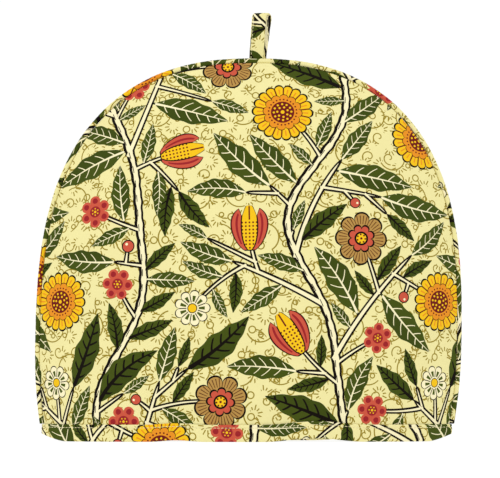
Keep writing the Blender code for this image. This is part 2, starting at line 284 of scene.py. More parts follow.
class Print:
    """The motifs of one repeat, grown so that none covers another."""

    def __init__(self, seed):
        self.rng = random.Random(seed)
        self.shoots, self.leaves, self.blooms = [], [], []
        self.taken = np.empty((0, 4))           # x, y, radius and the stem that it belongs to
        for number, bough in enumerate(BOUGHS):
            heights = np.arange(0, REPEAT[1], STEM_STEP)
            across, _ = bough_line(bough, heights)
            self.take([(bough.x + x, y, BOUGH_REACH) for x, y in zip(across, heights)], number)

    def take(self, discs, owner):
        self.taken = np.concatenate([self.taken, [(*disc, owner) for disc in discs]])

    def is_free(self, discs, spare, besides=()):
        new = np.array(list(discs))
        held = self.taken[~np.isin(self.taken[:, 3], besides)]
        ways = nearest(held[None, :, :2] - new[:, None, :2])
        room = np.hypot(ways[..., 0], ways[..., 1]) - held[:, 2] - new[:, 2:]
        return (room > spare).all()

    def leaf_fits(self, leaf, spare, besides):
        return self.is_free(leaf_discs(leaf), spare, besides)

    def shoot_fits(self, shoot, spare, besides):
        return self.is_free(shoot_discs(shoot), spare, besides)

    def stem_place(self, owner):
        """A random place on a stem: its point and direction."""
        if owner < len(BOUGHS):
            bough, y = BOUGHS[owner], self.rng.uniform(0, REPEAT[1])
            across, slope = bough_line(bough, y)
            return bough.x + across, y, 90 - math.degrees(math.atan(slope))
        shoot = self.shoots[owner - len(BOUGHS)]
        return shoot_point(shoot, shoot.length * self.rng.uniform(0.3, 0.95))

    def next_order(self, owner):
        return 1 if owner < len(BOUGHS) else self.shoots[int(owner) - len(BOUGHS)].order + 1

    def any_shoot(self, owner, angles, lengths):
        x, y, direction = self.stem_place(owner)
        turn = direction + self.rng.choice((-1, 1)) * self.rng.uniform(*angles)
        length, bend = self.rng.uniform(*lengths), self.rng.uniform(-MOST_BEND, MOST_BEND)
        return Shoot(x, y, turn, length, bend, self.next_order(owner))

    def leaf_on(self, x, y, turn, size, stalk=LEAF_STALK):
        bend = self.rng.uniform(-MOST_BEND, MOST_BEND)
        return leaf_at(x, y, turn, size, bend, self.rng.random() < DARK_VEINED, stalk)

    def leaves_along(self, shoot, start, step, size):
        """Leaves on alternate sides of a shoot."""
        side = self.rng.choice((-1, 1))
        for along in np.arange(start, shoot.length - 4, step):
            x, y, direction = shoot_point(shoot, along)
            turn = direction + side * self.rng.uniform(42, 58)
            yield self.leaf_on(x, y, turn, size * self.rng.uniform(0.85, 1.05))
            side = -side

    def add_shoot(self, shoot):
        self.shoots.append(shoot)
        owner = len(BOUGHS) + len(self.shoots) - 1
        self.take(shoot_discs(shoot), owner)
        return owner

    def add_leaf(self, leaf, owner):
        self.leaves.append(leaf)
        self.take(leaf_discs(leaf), owner + 0.5)

    def try_leaf(self, leaf, owner, spare, besides):
        """Add a leaf where there is room for it."""
        fits = self.leaf_fits(leaf, spare, besides)
        if fits:
            self.add_leaf(leaf, owner)
        return fits

    def add_bloom(self, bloom, radius):
        self.blooms.append(bloom)
        self.take([(bloom.x, bloom.y, radius)], -1)

    def add_flower(self, kind):
        """Of many places that are free, the one farthest from the other flowers."""
        size = BLOOM_SIZE[kind] * self.rng.uniform(0.96, 1.04)
        radius = BLOOM_RADIUS[kind] * size
        best, best_room = None, 0
        for attempt in range(TRIES):
            owner = self.rng.randrange(len(BOUGHS) + BRANCHES)
            shoot = self.any_shoot(owner, (42, 80), (14 + radius * 0.8, 30 + radius * 1.3))
            x, y, direction = shoot_point(shoot, shoot.length)
            if not self.is_free([(x, y, radius)], 3.5) or not self.shoot_fits(shoot, 3, (owner,)):
                continue
            others = np.array([(b.x, b.y) for b in self.blooms]).reshape(-1, 2)
            ways = nearest(others - (x, y))
            room = np.hypot(ways[:, 0], ways[:, 1]).min(initial=150) + self.rng.uniform(0, 6)
            if room > best_room:
                best, best_room = (shoot, owner, Bloom(kind, x, y, direction - 90, size)), room
        if best is None:
            return
        shoot, owner, bloom = best
        self.add_bloom(bloom, radius)
        own = self.add_shoot(shoot)
        for leaf in self.leaves_along(shoot._replace(length=shoot.length - radius), 7, 9, 0.62):
            self.try_leaf(leaf, own, 1.0, (own, owner))

    def add_branch(self):
        """A long shoot that swings out from a bough, as clear of the others as can be."""
        best, best_room = None, 0
        for attempt in range(BRANCH_TRIES):
            owner = self.rng.randrange(len(BOUGHS))
            shoot = self.any_shoot(owner, (35, 60), (70, 105))
            discs = list(shoot_discs(shoot, 16))
            room = next((r for r in (26, 22, 18, 14, 10) if self.is_free(discs, r, (owner,))), 0)
            if room > best_room:
                best, best_room = shoot, room
        own = self.add_shoot(best)
        self.add_leaf(self.leaf_on(*shoot_point(best, best.length), 0.8, stalk=0), own)

    def add_berry(self):
        owner = self.rng.randrange(len(BOUGHS) + len(self.shoots))
        shoot = self.any_shoot(owner, (40, 90), (9, 18))
        x, y, direction = shoot_point(shoot, shoot.length)
        size = self.rng.uniform(0.85, 1.15)
        radius = BLOOM_RADIUS[BERRY] * size
        if self.is_free([(x, y, radius)], 1.5) and self.shoot_fits(shoot, 1.5, (owner,)):
            self.add_shoot(shoot)
            self.add_bloom(Bloom(BERRY, x, y, direction - 90, size), radius)

    def add_twig(self, size):
        """A shoot with a leaf at its tip and at least two along it."""
        owner = self.rng.randrange(len(BOUGHS) + len(self.shoots))
        shoot = self.any_shoot(owner, (35, 70), (24 * size, 46 * size))
        x, y, direction = shoot_point(shoot, shoot.length)
        tip = self.leaf_on(x, y, direction, size, stalk=0)
        twig = [leaf for leaf in self.leaves_along(shoot, 11 * size, 12 * size, size)
                if self.leaf_fits(leaf, 2, (owner,))]
        fits = self.leaf_fits(tip, 2, (owner,)) and self.shoot_fits(shoot, 2, (owner,))
        if fits and len(twig) > 1:
            own = self.add_shoot(shoot)
            for leaf in (tip, *twig):
                self.add_leaf(leaf, own)

    def stations(self):
        """Points along every stem with its direction there and its number."""
        found = []
        for owner, bough in enumerate(BOUGHS):
            heights = np.arange(0, REPEAT[1], STEM_STEP)
            across, slope = bough_line(bough, heights)
            found += [(bough.x + x, y, 90 - math.degrees(math.atan(s)), owner)
                      for x, y, s in zip(across, heights, slope)]
        for number, shoot in enumerate(self.shoots):
            if shoot.length > 18:
                found += [(*shoot_point(shoot, along), len(BOUGHS) + number)
                          for along in np.arange(8, shoot.length * 0.9, STEM_STEP)]
        return np.array(found)

    def reach_gaps(self, size):
        """Grow twigs from the nearest stems into the widest gaps."""
        spots = np.stack(np.meshgrid(*(np.arange(0, side, 6.0) for side in REPEAT)), axis=-1).reshape(-1, 2)
        ways = nearest(self.taken[None, :, :2] - spots[:, None])
        room = (np.hypot(ways[..., 0], ways[..., 1]) - self.taken[:, 2]).min(axis=1)
        for spot in spots[np.argsort(-room)][:int((room > 7 * size).sum())]:
            if not self.is_free([(*spot, 7.5 * size)], 1.5):
                continue
            stations = self.stations()
            ways = nearest(spot - stations[:, :2])
            distances = np.hypot(ways[:, 0], ways[:, 1])
            for number in np.argsort(distances)[:STATIONS_TRIED]:
                x, y, direction, owner = stations[number]
                turn = math.degrees(math.atan2(ways[number, 1], ways[number, 0]))
                swing = (turn - direction + 180) % 360 - 180
                length = distances[number] - 24 * size
                suits = 28 < abs(swing) < 100 and length < 80
                if suits and self.add_leafy(x, y, turn, length, size, owner):
                    break

    def add_leafy(self, x, y, turn, length, size, owner):
        """A leaf on a stem, at the tip of a shoot of its own where the way is long."""
        if length < 7:
            return self.try_leaf(self.leaf_on(x, y, turn, size), owner, 1.2, (owner,))
        shoot = Shoot(x, y, turn, length, 0.0, self.next_order(owner))
        leaf = self.leaf_on(*shoot_point(shoot, length), size, stalk=0)
        if not (self.leaf_fits(leaf, 1.2, (owner,)) and self.shoot_fits(shoot, 1.5, (owner,))):
            return False
        own = self.add_shoot(shoot)
        self.add_leaf(leaf, own)
        for leaf in self.leaves_along(shoot, 9 * size, 10 * size, size * 0.9):
            self.try_leaf(leaf, own, 1.2, (own, owner))
        return True

    def add_single_leaf(self, size):
        owner = self.rng.randrange(len(BOUGHS) + len(self.shoots))
        x, y, direction = self.stem_place(owner)
        leaf = self.leaf_on(x, y, direction + self.rng.choice((-1, 1)) * self.rng.uniform(40, 75), size)
        self.try_leaf(leaf, owner, 1.8, (owner,))

    def fill_gaps(self, sizes):
        """Twigs into the widest gaps and single leaves into the rest, from large to small."""
        for size in sizes:
            self.reach_gaps(size)
            for attempt in range(TRIES):
                self.add_single_leaf(size)


def grow_print():
    grown = Print(PRINT_SEED)
    for branch in range(BRANCHES):
        grown.add_branch()
    for kind in BLOOM_ORDER:
        grown.add_flower(kind)
    for size in (1.1, 1.0, 0.9, 0.8, 0.7):
        for attempt in range(TWIG_TRIES):
            grown.add_twig(size)
    grown.fill_gaps((1.15, 1.0, 0.85, 0.7))
    for attempt in range(BERRY_TRIES):
        grown.add_berry()
    grown.fill_gaps((0.58, 0.46))
    return grown


PRINT = grow_print()


# Where a point lies on a motif, in the motif's own directions, and how near: 1 is the end of its reach

def bough_place(bough, way):
    across, slope = bough_line(bough, way[..., 1])
    return (way[..., 0] - across) / np.sqrt(1 + slope ** 2), way[..., 1], 0.0


def bough_reach(bough, x, y):
    return abs(x) / 8


def shoot_place(shoot, way):
    along, x = turned(way[..., 0], way[..., 1], -shoot.turn)
    x = (x - shoot.bend * along ** 2) / np.sqrt(1 + (2 * shoot.bend * along) ** 2)
    return x, along / shoot.length, float(shoot.length)


def shoot_reach(shoot, x, y):
    return np.where((y > -0.04) & (y < 1.02), abs(x) / 5, FAR_AWAY)


def leaf_place(leaf, way):
    x, y = turned(way[..., 0], way[..., 1], -leaf.turn)
    return x / leaf.size, (y - leaf.bend * x ** 2) / leaf.size, float(leaf.dark_veins)


def leaf_reach(leaf, x, y):
    return np.hypot(x / (LEAF_LENGTH / 2 + 8), y / 13)


def bloom_place(bloom, way):
    x, y = turned(way[..., 0], way[..., 1], -bloom.turn)
    return x / bloom.size, y / bloom.size, float(bloom.kind)


def bloom_reach(bloom, x, y):
    return np.hypot(x, y) / (BLOOM_RADIUS[bloom.kind] + 4)


def printed_layer(cloth, motifs, place, reach):
    """Each face's nearest motif, as the motif's own coordinates at the face's four corners."""
    middle = cloth.mean(axis=1)
    best = np.ones(len(middle))
    layer = np.full((len(middle), 4, 3), FAR_AWAY)
    for motif in motifs:
        plain = middle - (motif.x, motif.y)
        way = nearest(plain)
        x, y, _ = place(motif, way)
        score = reach(motif, x, y)
        mine = score < best
        best[mine] = score[mine]
        ways = cloth[mine] - (motif.x, motif.y) + (way - plain)[mine][:, None]
        x, y, fact = place(motif, ways)
        layer[mine] = np.stack([x, y, np.full_like(x, fact)], axis=-1)
    return layer


# Meshes are sewn from patches: grids of point numbers with their place on the flat cloth and on the bake

Patch = namedtuple("Patch", "points cloth chart finish")


def spread(across, up, rows, columns):
    """A grid of charts over a box of the bake: across and up are its ends."""
    u, v = np.meshgrid(np.linspace(*across, columns), np.linspace(*up, rows))
    return np.stack([u, v], axis=-1)


def made(mesh, sharp_from=None):
    """A piece of its mesh: smooth, facing outwards, with sharp edges from an angle on."""
    bm = bmesh.new()
    bm.from_mesh(mesh)
    bmesh.ops.recalc_face_normals(bm, faces=bm.faces)
    bm.to_mesh(mesh)
    bm.free()
    mesh.shade_smooth()
    if sharp_from is not None:
        mesh.set_sharp_from_angle(angle=math.radians(sharp_from))
    piece = bpy.data.objects.new(mesh.name, mesh)
    bpy.context.collection.objects.link(piece)
    return piece


def corners(grid):
    """The four corners of every face of a grid."""
    around = [grid[:-1, :-1], grid[:-1, 1:], grid[1:, 1:], grid[1:, :-1]]
    return np.stack(around, axis=2).reshape(-1, 4, *grid.shape[2:])


def sew(name, points, patches, finishes):
    """One piece of its patches, with the print laid on it."""
    faces = np.concatenate([corners(patch.points) for patch in patches])
    cloth = np.concatenate([corners(patch.cloth) for patch in patches])
    chart = np.concatenate([corners(patch.chart) for patch in patches])
    finish = np.concatenate([np.full(len(corners(patch.points)), patch.finish) for patch in patches])
    mesh = bpy.data.meshes.new(name)
    mesh.from_pydata(leaned(points).tolist(), [], faces.tolist())
    for finish_material in finishes:
        mesh.materials.append(finish_material)
    mesh.polygons.foreach_set("material_index", finish.astype(np.int32))
    odd, even = ([shoot for shoot in PRINT.shoots if shoot.order % 2 == rest] for rest in (1, 0))
    layers = {
        "cloth": np.concatenate([cloth, np.zeros_like(cloth[..., :1])], axis=-1),
        "bough": printed_layer(cloth, BOUGHS, bough_place, bough_reach),
        "shoot": printed_layer(cloth, odd, shoot_place, shoot_reach),
        "fork": printed_layer(cloth, even, shoot_place, shoot_reach),
        "leaf": printed_layer(cloth, PRINT.leaves, leaf_place, leaf_reach),
        "bloom": printed_layer(cloth, PRINT.blooms, bloom_place, bloom_reach),
    }
    for layer, values in layers.items():
        mesh.attributes.new(layer, "FLOAT_VECTOR", "CORNER").data.foreach_set(
            "vector", values.astype(np.float32).ravel())
    mesh.uv_layers.new(name="OFBake").data.foreach_set("uv", chart.astype(np.float32).ravel())
    return made(mesh, sharp_from=50)


# Panels

PANEL_COLUMNS = 201
PANEL_UPPER_ROWS = 110
PANEL_LOWER_ROWS = 36
PANEL_CUT = {FRONT: np.array([18.0, 24.0]), BACK: np.array([171.0, 118.0])}     # its place on the cloth

# The edge rolls in to the piping: how far beyond the rim, and how far from the seam
SEAM_ROLL = ((0.35, 2.35), (0.6, 1.75), (0.55, 1.1), (0.44, 0.5), (0.4, 0.15))

# Where the panel's charts lie on the bake
CHART_ACROSS = (0.002, 0.998)
OUTSIDE_UP, INSIDE_UP, RIM_UP = (0.1, 0.998), (0.004, 0.076), (0.081, 0.095)


def flat_place(x, z, r, rim_x, rim_z):
    """Where a point lies on the flat cloth: the padding's slope is laid out from the middle."""
    radius = np.hypot(rim_x, rim_z)
    steep = (PANEL_BULGE / np.maximum(radius, 1)) ** 2
    # Half of the crown's squared slope, summed from the middle out, over the way r
    longer = 1 + steep * (r ** 2 / 6 + 0.4 * r ** 4 + 2 / 7 * r ** 6)
    return np.stack([x * longer, WIDEST_Z + (z - WIDEST_Z) * np.where(z > WIDEST_Z, longer, 1)], axis=-1)


def panel_points(side):
    """Outer and inner face as rows from the hem up, and their place on the flat cloth."""
    half = even_steps(PANEL_COLUMNS // 2 + 1)
    across = np.concatenate([-half[:0:-1], half])
    wall = (side_half_width(WALL_TOP_Z) - SEAM_INSET) * across
    foot = BAND_THICK + GAP + hem_lift(wall, side) + corner_lift(abs(wall) + FOOT_MARGIN)
    rows = [(wall, foot + (WALL_TOP_Z - foot) * share, abs(across)) for share in np.linspace(0, 1, 6)]
    for z in np.linspace(WALL_TOP_Z, WIDEST_Z, PANEL_LOWER_ROWS)[1:-1]:
        rows.append(((side_half_width(z) - SEAM_INSET) * across, np.full_like(wall, z), abs(across)))
    for up in even_steps(PANEL_UPPER_ROWS):
        disc_x = across * np.sqrt(1 - up * up / 2)
        disc_z = up * np.sqrt(1 - across ** 2 / 2)
        r = np.hypot(disc_x, disc_z)
        edge_x, edge_z = shoulder(np.arctan2(disc_z, disc_x), SEAM_INSET)
        rows.append((edge_x * r, WIDEST_Z + (edge_z - WIDEST_Z) * r, r))
    x, z, r = (np.array(part) for part in zip(*rows))
    smooth_face = np.stack([x, side * (RIM_Y + bulge(x, z, r, side)), z], axis=-1)
    outside = smooth_face.copy()
    outside[..., 1] += side * puckers(x, z, r, side)
    normal = unit(np.cross(np.gradient(smooth_face, axis=1), np.gradient(smooth_face, axis=0)))
    inward = normal * np.where(normal[..., 1:2] * side > 0, -1, 1)
    free = smooth(0, 0.15, 1 - r)[..., None]
    direction = unit(free * inward + (1 - free) * np.array([0.0, -side, 0.0]))
    full = smooth(0, 0.25, 1 - r) * smooth(PINCH_Z, PINCH_Z + 24, z)
    inside = smooth_face + (RIM_THICK + (PANEL_THICK - RIM_THICK) * full)[..., None] * direction
    rim_x, rim_z = x / np.maximum(r, 0.01), (z - WIDEST_Z) * (z > WIDEST_Z) / np.maximum(r, 0.01)
    return outside, inside, flat_place(x, z, r, rim_x, rim_z) * [-side, 1]


def make_panel(name, side, print_finish, reverse_finish):
    outside, inside, flat = panel_points(side)
    rows, columns = outside.shape[:2]
    numbers = np.arange(rows * columns).reshape(rows, columns)
    back = numbers + rows * columns
    cloth = flat + PANEL_CUT[side]
    rim = np.concatenate([numbers[0, :-1], numbers[:-1, -1], numbers[-1, :0:-1], numbers[:0:-1, 0]])
    edge = outside.reshape(-1, 3)[rim]
    way = np.roll(edge, -1, axis=0) - np.roll(edge, 1, axis=0)
    out = unit(np.stack([way[:, 2], np.zeros(len(rim)), -way[:, 0]], axis=1))
    rings = [rim]
    turned_in = []
    inner_edge = inside.reshape(-1, 3)[rim]
    beside = smooth(WALL_TOP_Z - 1.5, WALL_TOP_Z, edge[:, 2:])
    for k, (reach, depth) in enumerate(SEAM_ROLL):
        rolled = edge + reach * out
        rolled[:, 1] = side * depth
        across = edge + (inner_edge - edge) * (k + 1) / (len(SEAM_ROLL) + 1)
        turned_in.append(across + (rolled - across) * beside)
        rings.append(2 * rows * columns + k * len(rim) + np.arange(len(rim)))
    rings.append(rim + rows * columns)
    closed = [np.append(ring, ring[0]) for ring in rings]
    rim_cloth = cloth.reshape(-1, 2)[closed[0]]
    patches = [
        Patch(numbers, cloth, spread(CHART_ACROSS, OUTSIDE_UP, rows, columns), 0),
        Patch(back, cloth, spread(CHART_ACROSS, INSIDE_UP, rows, columns), 1),
        Patch(np.stack(closed), np.stack([rim_cloth] * len(closed)),
              spread(CHART_ACROSS, RIM_UP, len(closed), len(closed[0])), 0),
    ]
    points = np.concatenate([outside.reshape(-1, 3), inside.reshape(-1, 3), *turned_in])
    return sew(name, points, patches, [print_finish, reverse_finish])


# Long strips: a section carried along a line, cut into charts that fill the bake

def strip_patches(numbers, along, around, cloth, strips):
    """Patches of a tube whose rows follow its length; its charts lie above each other in strips."""
    patches = []
    rows = len(along)
    ends = np.linspace(0, rows - 1, strips + 1).astype(int)
    for k, (first, last) in enumerate(zip(ends, ends[1:])):
        part = slice(first, last + 1)
        u = 0.004 + 0.992 * (along[part] - along[first]) / (along[last] - along[first])
        v = (k + 0.04 + 0.92 * around / around[-1]) / strips
        chart = np.stack(np.meshgrid(u, v, indexing="ij"), axis=-1)
        patches.append(Patch(numbers[part], cloth[part], chart, 0))
    return patches


def end_patches(numbers, cloth):
    """The two flat ends of a tube, each laced across, in two corners of the bake."""
    for end, corner in ((0, 0), (-1, 0.996)):
        ring = numbers[end, :-1]
        half = len(ring) // 2
        pairs = np.stack([ring[:half], ring[:half - 1:-1]], axis=1)
        place = np.broadcast_to(cloth[end, 0], (half, 2, 2))
        reach = (corner, corner + 0.003)
        yield Patch(pairs, place, spread(reach, reach, half, 2), 0)


PIPING_STEPS = 640
PIPING_SIDES = 16
PIPING_CUT = np.array([40.0, 205.0])
PIPING_DRAW = 0.08              # the stitching draws it thinner than the cord's full size
STRAIN, STRAIN_PITCH = 0.05, 0.62
UNEVEN_CORD, CORD_WAVES = 0.06, ((23, 0.2), (37, 0.5))


def outline_line(inset):
    """The outline from the right foot over the crown to the left one, inset, at even steps."""
    rise = [(side_half_width(z), z) for z in np.linspace(WALL_TOP_Z, WIDEST_Z, 60)]
    over = [shoulder(angle) for angle in np.linspace(0, math.pi, 1200)[1:-1]]
    line = np.array(rise + over + [(-x, z) for x, z in rise[::-1]])
    tangent = unit(np.gradient(line, axis=0))
    line = line + inset * np.stack([-tangent[:, 1], tangent[:, 0]], axis=1)
    along = distance_along(line)
    steps = np.linspace(0, along[-1], PIPING_STEPS)
    return np.stack([np.interp(steps, along, line[:, axis]) for axis in (0, 1)], axis=1), steps


def make_piping(name, print_finish):
    """A cord under bias-cut cloth: faint slanting strain lines, and not quite even."""
    line, along = outline_line(PIPING / 2)
    tangent = unit(np.gradient(line, axis=0))
    out = np.stack([tangent[:, 1], -tangent[:, 0]], axis=1)
    turn = np.linspace(0, TURN, PIPING_SIDES + 1)
    strain = STRAIN * np.sin(along[:, None] / STRAIN_PITCH + turn * 2)
    uneven = UNEVEN_CORD * ripples(along, *CORD_WAVES)[:, None]
    radius = PIPING / 2 - PIPING_DRAW + strain + uneven
    points = np.empty((len(line), PIPING_SIDES + 1, 3))
    for axis, column in ((0, 0), (1, 2)):
        points[..., column] = line[:, axis, None] + radius * np.cos(turn) * out[:, axis, None]
    points[..., 1] = radius * np.sin(turn)
    for end in (0, -1):
        points[end, :, 2] = WALL_TOP_Z
    around = turn * PIPING / 2
    diagonal = np.stack([along[:, None] - around, along[:, None] + around], axis=-1)
    cloth = math.sqrt(0.5) * diagonal + PIPING_CUT
    numbers = np.arange(len(line))[:, None] * PIPING_SIDES + np.arange(PIPING_SIDES + 1) % PIPING_SIDES
    patches = [*strip_patches(numbers, along, around, cloth, 8), *end_patches(numbers, cloth)]
    return sew(name, points[:, :-1].reshape(-1, 3), patches, [print_finish])


# Hem band

BAND_STATIONS = 180             # along half of the ring
BAND_CUT = np.array([65.0, 148.0])
SOFT_EDGE = 0.35                # rounding of its folded top edges
FOLD_Z = 1.1                    # from here down it rounds into the lower fold
BAND_WAVE, BAND_WAVES = 0.16, ((21, 0.1), (13, 0.6), (7.3, 0.3))


def band_curve():
    """The panels' outer face at the hem, front half, and its normals; it ends at y = 0."""
    across = np.linspace(-1, 1, 401)
    half_width = side_half_width(WALL_TOP_Z) - SEAM_INSET
    x = half_width * across
    y = -(RIM_Y + (PANEL_BULGE - BAND_PINCH) * crown(abs(across)))
    normal = unit(np.stack([np.gradient(y, x), -np.ones_like(x)], axis=1))
    end_angle = math.atan2(-normal[-1, 1], normal[-1, 0])
    radius = RIM_Y / math.sin(end_angle)
    turn = np.linspace(0, end_angle, 20)[:-1]
    arc_normal = np.stack([np.cos(turn), -np.sin(turn)], axis=1)
    arc = radius * arc_normal + [x[-1] - radius * math.cos(end_angle), 0]
    mirror = np.array([-1, 1])
    points = np.concatenate([arc * mirror, np.stack([x, y], axis=1), arc[::-1]])
    normals = np.concatenate([arc_normal * mirror, normal, arc_normal[::-1]])
    return points, normals


def band_line(offset):
    """Stations of the half ring at an outward offset from the panels, closer at its ends."""
    points, normals = band_curve()
    line = points + offset * normals
    front = np.flatnonzero(line[:, 1] < 0)
    ends = []
    for last, beyond in ((front[0], front[0] - 1), (front[-1], front[-1] + 1)):
        share = line[last, 1] / (line[last, 1] - line[beyond, 1])
        ends.append([line[last, 0] + share * (line[beyond, 0] - line[last, 0]), 0])
    line = np.concatenate([ends[:1], line[front], ends[1:]])
    along = distance_along(line)
    t = np.linspace(0, 1, BAND_STATIONS + 1)
    stations = (t - 0.8 * np.sin(TURN * t) / TURN) * along[-1]
    return np.stack([np.interp(stations, along, line[:, axis]) for axis in (0, 1)], axis=1)


def full_ring(half):
    """Both halves of the ring, from the left seam along the front and back again."""
    mirrored = half[-2:0:-1] * [1, -1]
    return np.concatenate([half, mirrored])


def band_section():
    """Offsets and heights round the folded band."""
    outer, pocket = GAP + BAND_THICK, -RIM_THICK - GAP
    inner = pocket - BAND_THICK
    section = []

    def leg(face, away):
        """One leg's face from the top fold down, a little plump, pinched at the stitching."""
        for z in np.linspace(BAND - SOFT_EDGE, FOLD_Z, 15):
            pinch = HEM_PINCH * math.exp(-((z - BAND + HEM_STITCH_DROP) / 0.8) ** 2)
            plump = BAND_PLUMP * math.sin(math.pi * (z - FOLD_Z) / (BAND - HEM_STITCH_DROP))
            yield face + away * (plump - pinch), z

    section.extend([(GAP + SOFT_EDGE, BAND), (outer - SOFT_EDGE, BAND)])
    section.extend(leg(outer, 1))
    section.extend([(outer - 0.12, 0.62), (outer - 0.4, 0.22), (outer - 0.9, 0.0)])
    section.append(((outer + inner) / 2, 0.0))
    section.extend([(inner + 0.9, 0.0), (inner + 0.4, 0.22), (inner + 0.12, 0.62)])
    section.extend(reversed(list(leg(inner, -1))))
    section.extend([(inner + SOFT_EDGE, BAND), (pocket - SOFT_EDGE, BAND)])
    section.extend([(pocket, BAND - SOFT_EDGE), (pocket, BAND / 2), (pocket, BAND_THICK)])
    section.extend([(GAP, BAND_THICK), (GAP, BAND / 2), (GAP, BAND - SOFT_EDGE)])
    return section


def section_height(z, x, side):
    """The top edge stays level at the corners, where the lower edge turns up."""
    return z + hem_lift(x, side) + corner_lift(x) * smooth(0, 1, (BAND - z) / BAND)


def make_band(name, print_finish):
    section = band_section()
    rings = [full_ring(band_line(offset)) for offset, _ in section]
    guide = full_ring(band_line(GAP + BAND_THICK))
    count = len(guide)
    side = np.where(guide[:, 1] < 0, FRONT, BACK)
    along = distance_along(np.concatenate([guide, guide[:1]]))
    points = np.empty((count, len(section), 3))
    for j, (ring, (offset, z)) in enumerate(zip(rings, section)):
        points[:, j, :2] = ring
        points[:, j, 2] = [section_height(z, x, s) for x, s in zip(guide[:, 0], side)]
    outward = unit(np.stack([np.gradient(guide[:, 1]), -np.gradient(guide[:, 0])], axis=1))
    wave = BAND_WAVE * ripples(along[:-1], *BAND_WAVES)
    flat = np.array(section)
    profile = np.exp(-((flat[:, 1] - 6) / 4) ** 2) * (flat[:, 0] > GAP + 0.9)
    points[..., :2] -= (wave[:, None] * profile)[..., None] * outward[:, None]
    around = distance_along(np.concatenate([flat, flat[:1]]))
    stations, corner_count = np.arange(count + 1) % count, len(section)
    numbers = stations[:, None] * corner_count + np.arange(corner_count + 1) % corner_count
    cloth = np.stack(np.meshgrid(along, -around, indexing="ij"), axis=-1) + BAND_CUT
    patches = strip_patches(numbers, along, around, cloth, 4)
    return sew(name, points.reshape(-1, 3), patches, [print_finish])


# Hanging loop

LOOP_CUT = np.array([68.0, 44.0])
LOOP_UNEVEN, LOOP_WAVES = 0.12, ((15, 0.2), (9, 0.6))


def loop_path():
    """Middle line of the strip: sideways place, depth and height of each point."""
    front_foot = (PIPING / 2 + GAP + LOOP_THICK / 2, CROWN_Z - SEAM_INSET + GAP + 0.1)
    back_foot = (front_foot[0] + LOOP_THICK + GAP, front_foot[1] - LOOP_STEP)
    fold_z = LOOP_TOP_Z - LOOP_THICK / 2 - LOOP_FOLD
    fold_y = (front_foot[0] + back_foot[0]) / 2
    path = []
    for share in np.linspace(0, 1, 40)[:-1]:
        z = front_foot[1] + (fold_z - front_foot[1]) * share
        spread_share = smooth(front_foot[1], LOOP_SPREAD_Z, z)
        y = front_foot[0] + (fold_y - LOOP_FOLD - front_foot[0]) * spread_share
        path.append((LOOP_FRONT_X[0] + (LOOP_FRONT_X[1] - LOOP_FRONT_X[0]) * share, y, z))
    for turn in np.linspace(0, math.pi, 28):
        x = LOOP_FRONT_X[1] + (LOOP_BACK_X[1] - LOOP_FRONT_X[1]) * (1 - math.cos(turn)) / 2
        path.append((x, fold_y - LOOP_FOLD * math.cos(turn), fold_z + LOOP_FOLD * math.sin(turn)))
    for share in np.linspace(1, 0, 40)[1:]:
        z = back_foot[1] + (fold_z - back_foot[1]) * share
        spread_share = smooth(back_foot[1], LOOP_SPREAD_Z, z)
        y = back_foot[0] + (fold_y + LOOP_FOLD - back_foot[0]) * spread_share
        path.append((LOOP_BACK_X[0] + (LOOP_BACK_X[1] - LOOP_BACK_X[0]) * share, y, z))
    return np.array(path)


def strip_frame(path):
    """Unit vectors through the strip's thickness, from its outer face inwards."""
    tangent = unit(np.gradient(path[:, 1:], axis=0))
    return np.stack([np.zeros(len(path)), -tangent[:, 1], tangent[:, 0]], axis=1)


def loop_section():
    """Across and through the strip: rounded edges, and a pressed line where it is stitched."""
    half, thick = LOOP_WIDTH / 2, LOOP_THICK / 2
    lines = np.linspace(-half + 0.5, half - 0.5, 14)
    pressed = LOOP_PRESS * np.exp(-((lines + half - LOOP_STITCH_INSET) / 0.5) ** 2)
    top = [(x, thick - p) for x, p in zip(lines, pressed)]
    under = [(x, -thick + p) for x, p in zip(lines[::-1], pressed[::-1])]
    right = [(half - 0.12, thick * 0.6), (half, 0), (half - 0.12, -thick * 0.6)]
    left = [(-half + 0.12, -thick * 0.6), (-half, 0), (-half + 0.12, thick * 0.6)]
    return np.array(top + right + under + left)


def make_loop(name, print_finish):
    path = loop_path()
    through = strip_frame(path)
    section = loop_section()
    along = distance_along(path)
    uneven = LOOP_UNEVEN * ripples(along, *LOOP_WAVES)
    points = path[:, None] + section[None, :, 1:] * through[:, None] + [1, 0, 0] * section[None, :, :1]
    points[..., 0] += uneven[:, None]
    around = distance_along(np.concatenate([section, section[:1]]))
    count = len(section)
    numbers = np.arange(len(path))[:, None] * count + np.arange(count + 1) % count
    cloth = np.stack(np.meshgrid(along, around, indexing="ij"), axis=-1)[..., ::-1] + LOOP_CUT
    patches = [*strip_patches(numbers, along, around, cloth, 2), *end_patches(numbers, cloth)]
    return sew(name, points.reshape(-1, 3), patches, [print_finish])


# Sewing thread

def stitch_row(line, out, sunk):
    """Middles, directions and outward vectors of the stitches along a line."""
    along = distance_along(line)

    def at(place, values):
        return np.array([np.interp(place, along, values[:, axis]) for axis in range(3)])

    for start in np.arange(0.8, along[-1] - STITCH, STITCH_PITCH):
        first, last = at(start, line), at(start + STITCH, line)
        away = unit(at(start + STITCH / 2, out))
        yield (first + last) / 2 - away * sunk, unit(last - first), away


